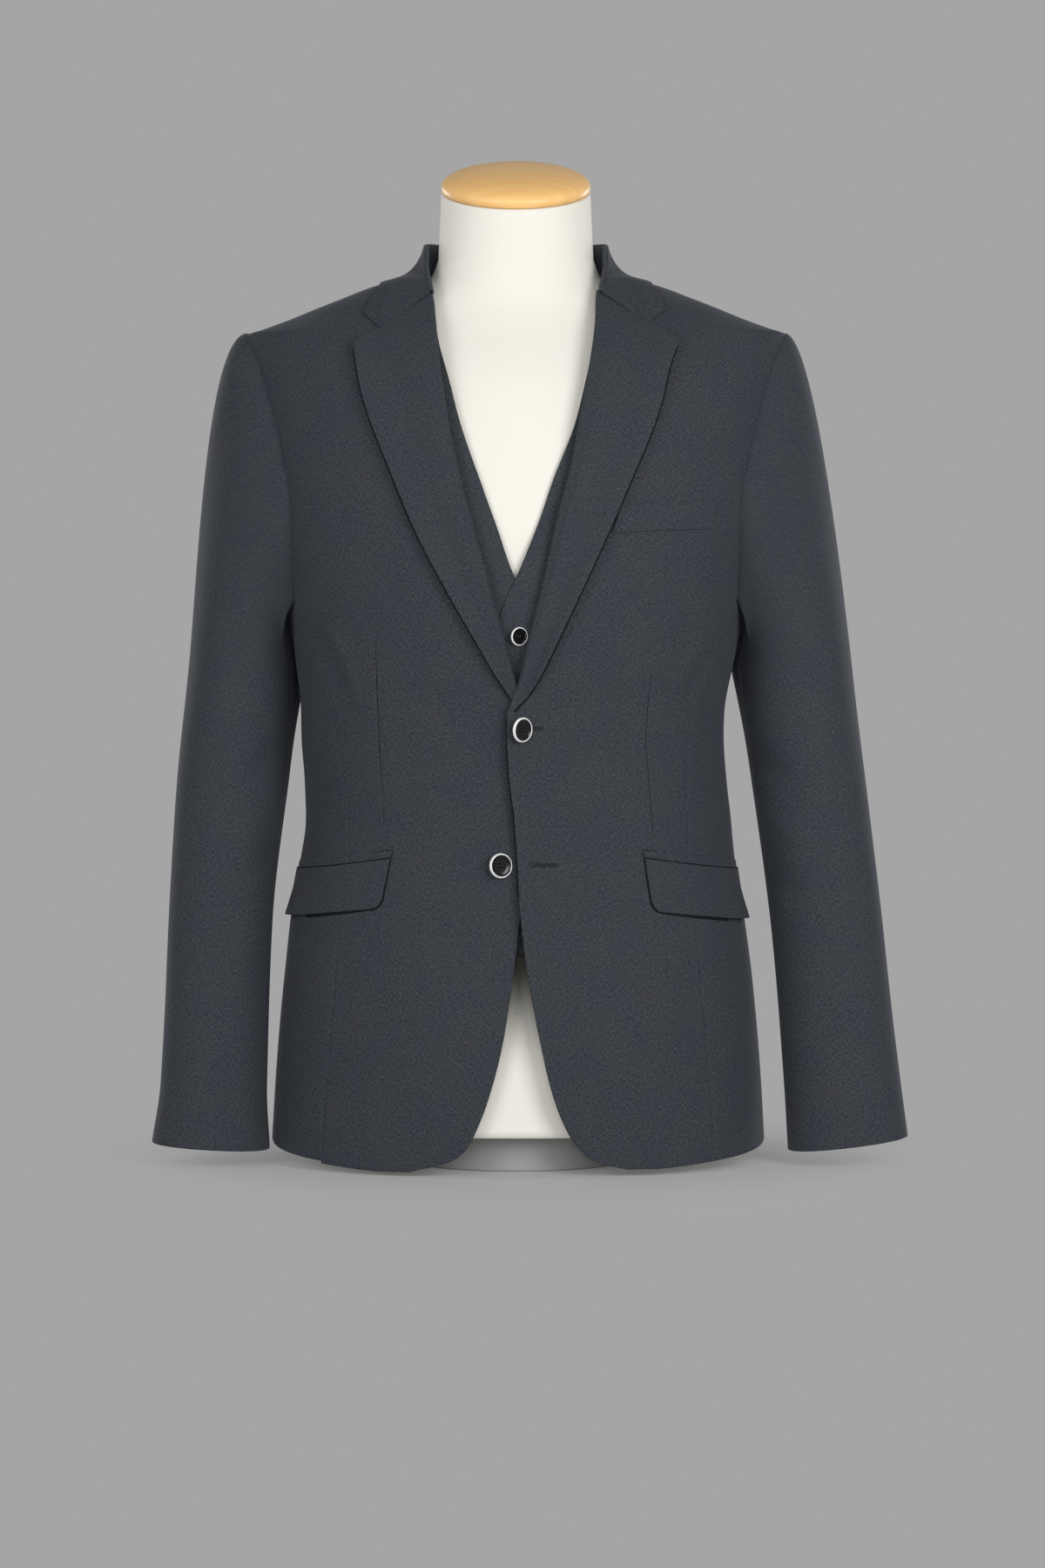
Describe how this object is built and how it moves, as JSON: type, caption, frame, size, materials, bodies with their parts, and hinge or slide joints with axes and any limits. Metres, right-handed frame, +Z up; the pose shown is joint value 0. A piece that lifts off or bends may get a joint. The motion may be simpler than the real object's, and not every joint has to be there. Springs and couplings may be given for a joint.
{
  "type": "tailored suit jacket and waistcoat on a limbless dress form",
  "caption": "Slim notch-lapel suit jacket over a V-neck waistcoat, worn by a limbless cloth dress form with a wooden neck cap and a low round foot.",
  "frame": {"origin": "centre of the foot's flat underside, on the floor under the form's axis", "axes": "+Z up from the floor to the neck cap; the suit faces -Y; +X is the wearer's left, the viewer's right"},
  "size_m": [0.6136, 0.2666, 0.8212],
  "materials": {
    "jacket_cloth": "fine dark slate melange wool, soft sheen",
    "waistcoat_cloth": "the same melange wool, matt",
    "lining": "smooth dark lining cloth",
    "button_horn": "black with a pale polished rim",
    "form_cloth": "stretched off-white cotton",
    "turned_wood": "satin pale wood",
    "foot_paint": "matt light grey"
  },
  "bodies": {
    "root": {"breast_welt": "jacket_cloth", "collar": "jacket_cloth", "form_foot": "foot_paint", "form_torso": "form_cloth", "hip_flap_left": "jacket_cloth", "hip_flap_right": "jacket_cloth", "hip_jet_left": "jacket_cloth", "hip_jet_right": "jacket_cloth", "jacket_back_left": "jacket_cloth", "jacket_back_right": "jacket_cloth", "jacket_button_lower": "button_horn", "jacket_button_upper": "button_horn", "jacket_front_left": "jacket_cloth", "jacket_front_right": "jacket_cloth", "jacket_side_left": "jacket_cloth", "jacket_side_right": "jacket_cloth", "lapel_left": "jacket_cloth", "lapel_right": "jacket_cloth", "neck_cap": "turned_wood", "top_sleeve_left": "jacket_cloth", "top_sleeve_right": "jacket_cloth", "under_sleeve_left": "jacket_cloth", "under_sleeve_right": "jacket_cloth", "waistcoat_back": "lining", "waistcoat_button_1": "button_horn", "waistcoat_button_2": "button_horn", "waistcoat_button_3": "button_horn", "waistcoat_button_4": "button_horn", "waistcoat_button_5": "button_horn", "waistcoat_front_left": "waistcoat_cloth", "waistcoat_front_right": "waistcoat_cloth"}
  },
  "joints": []
}
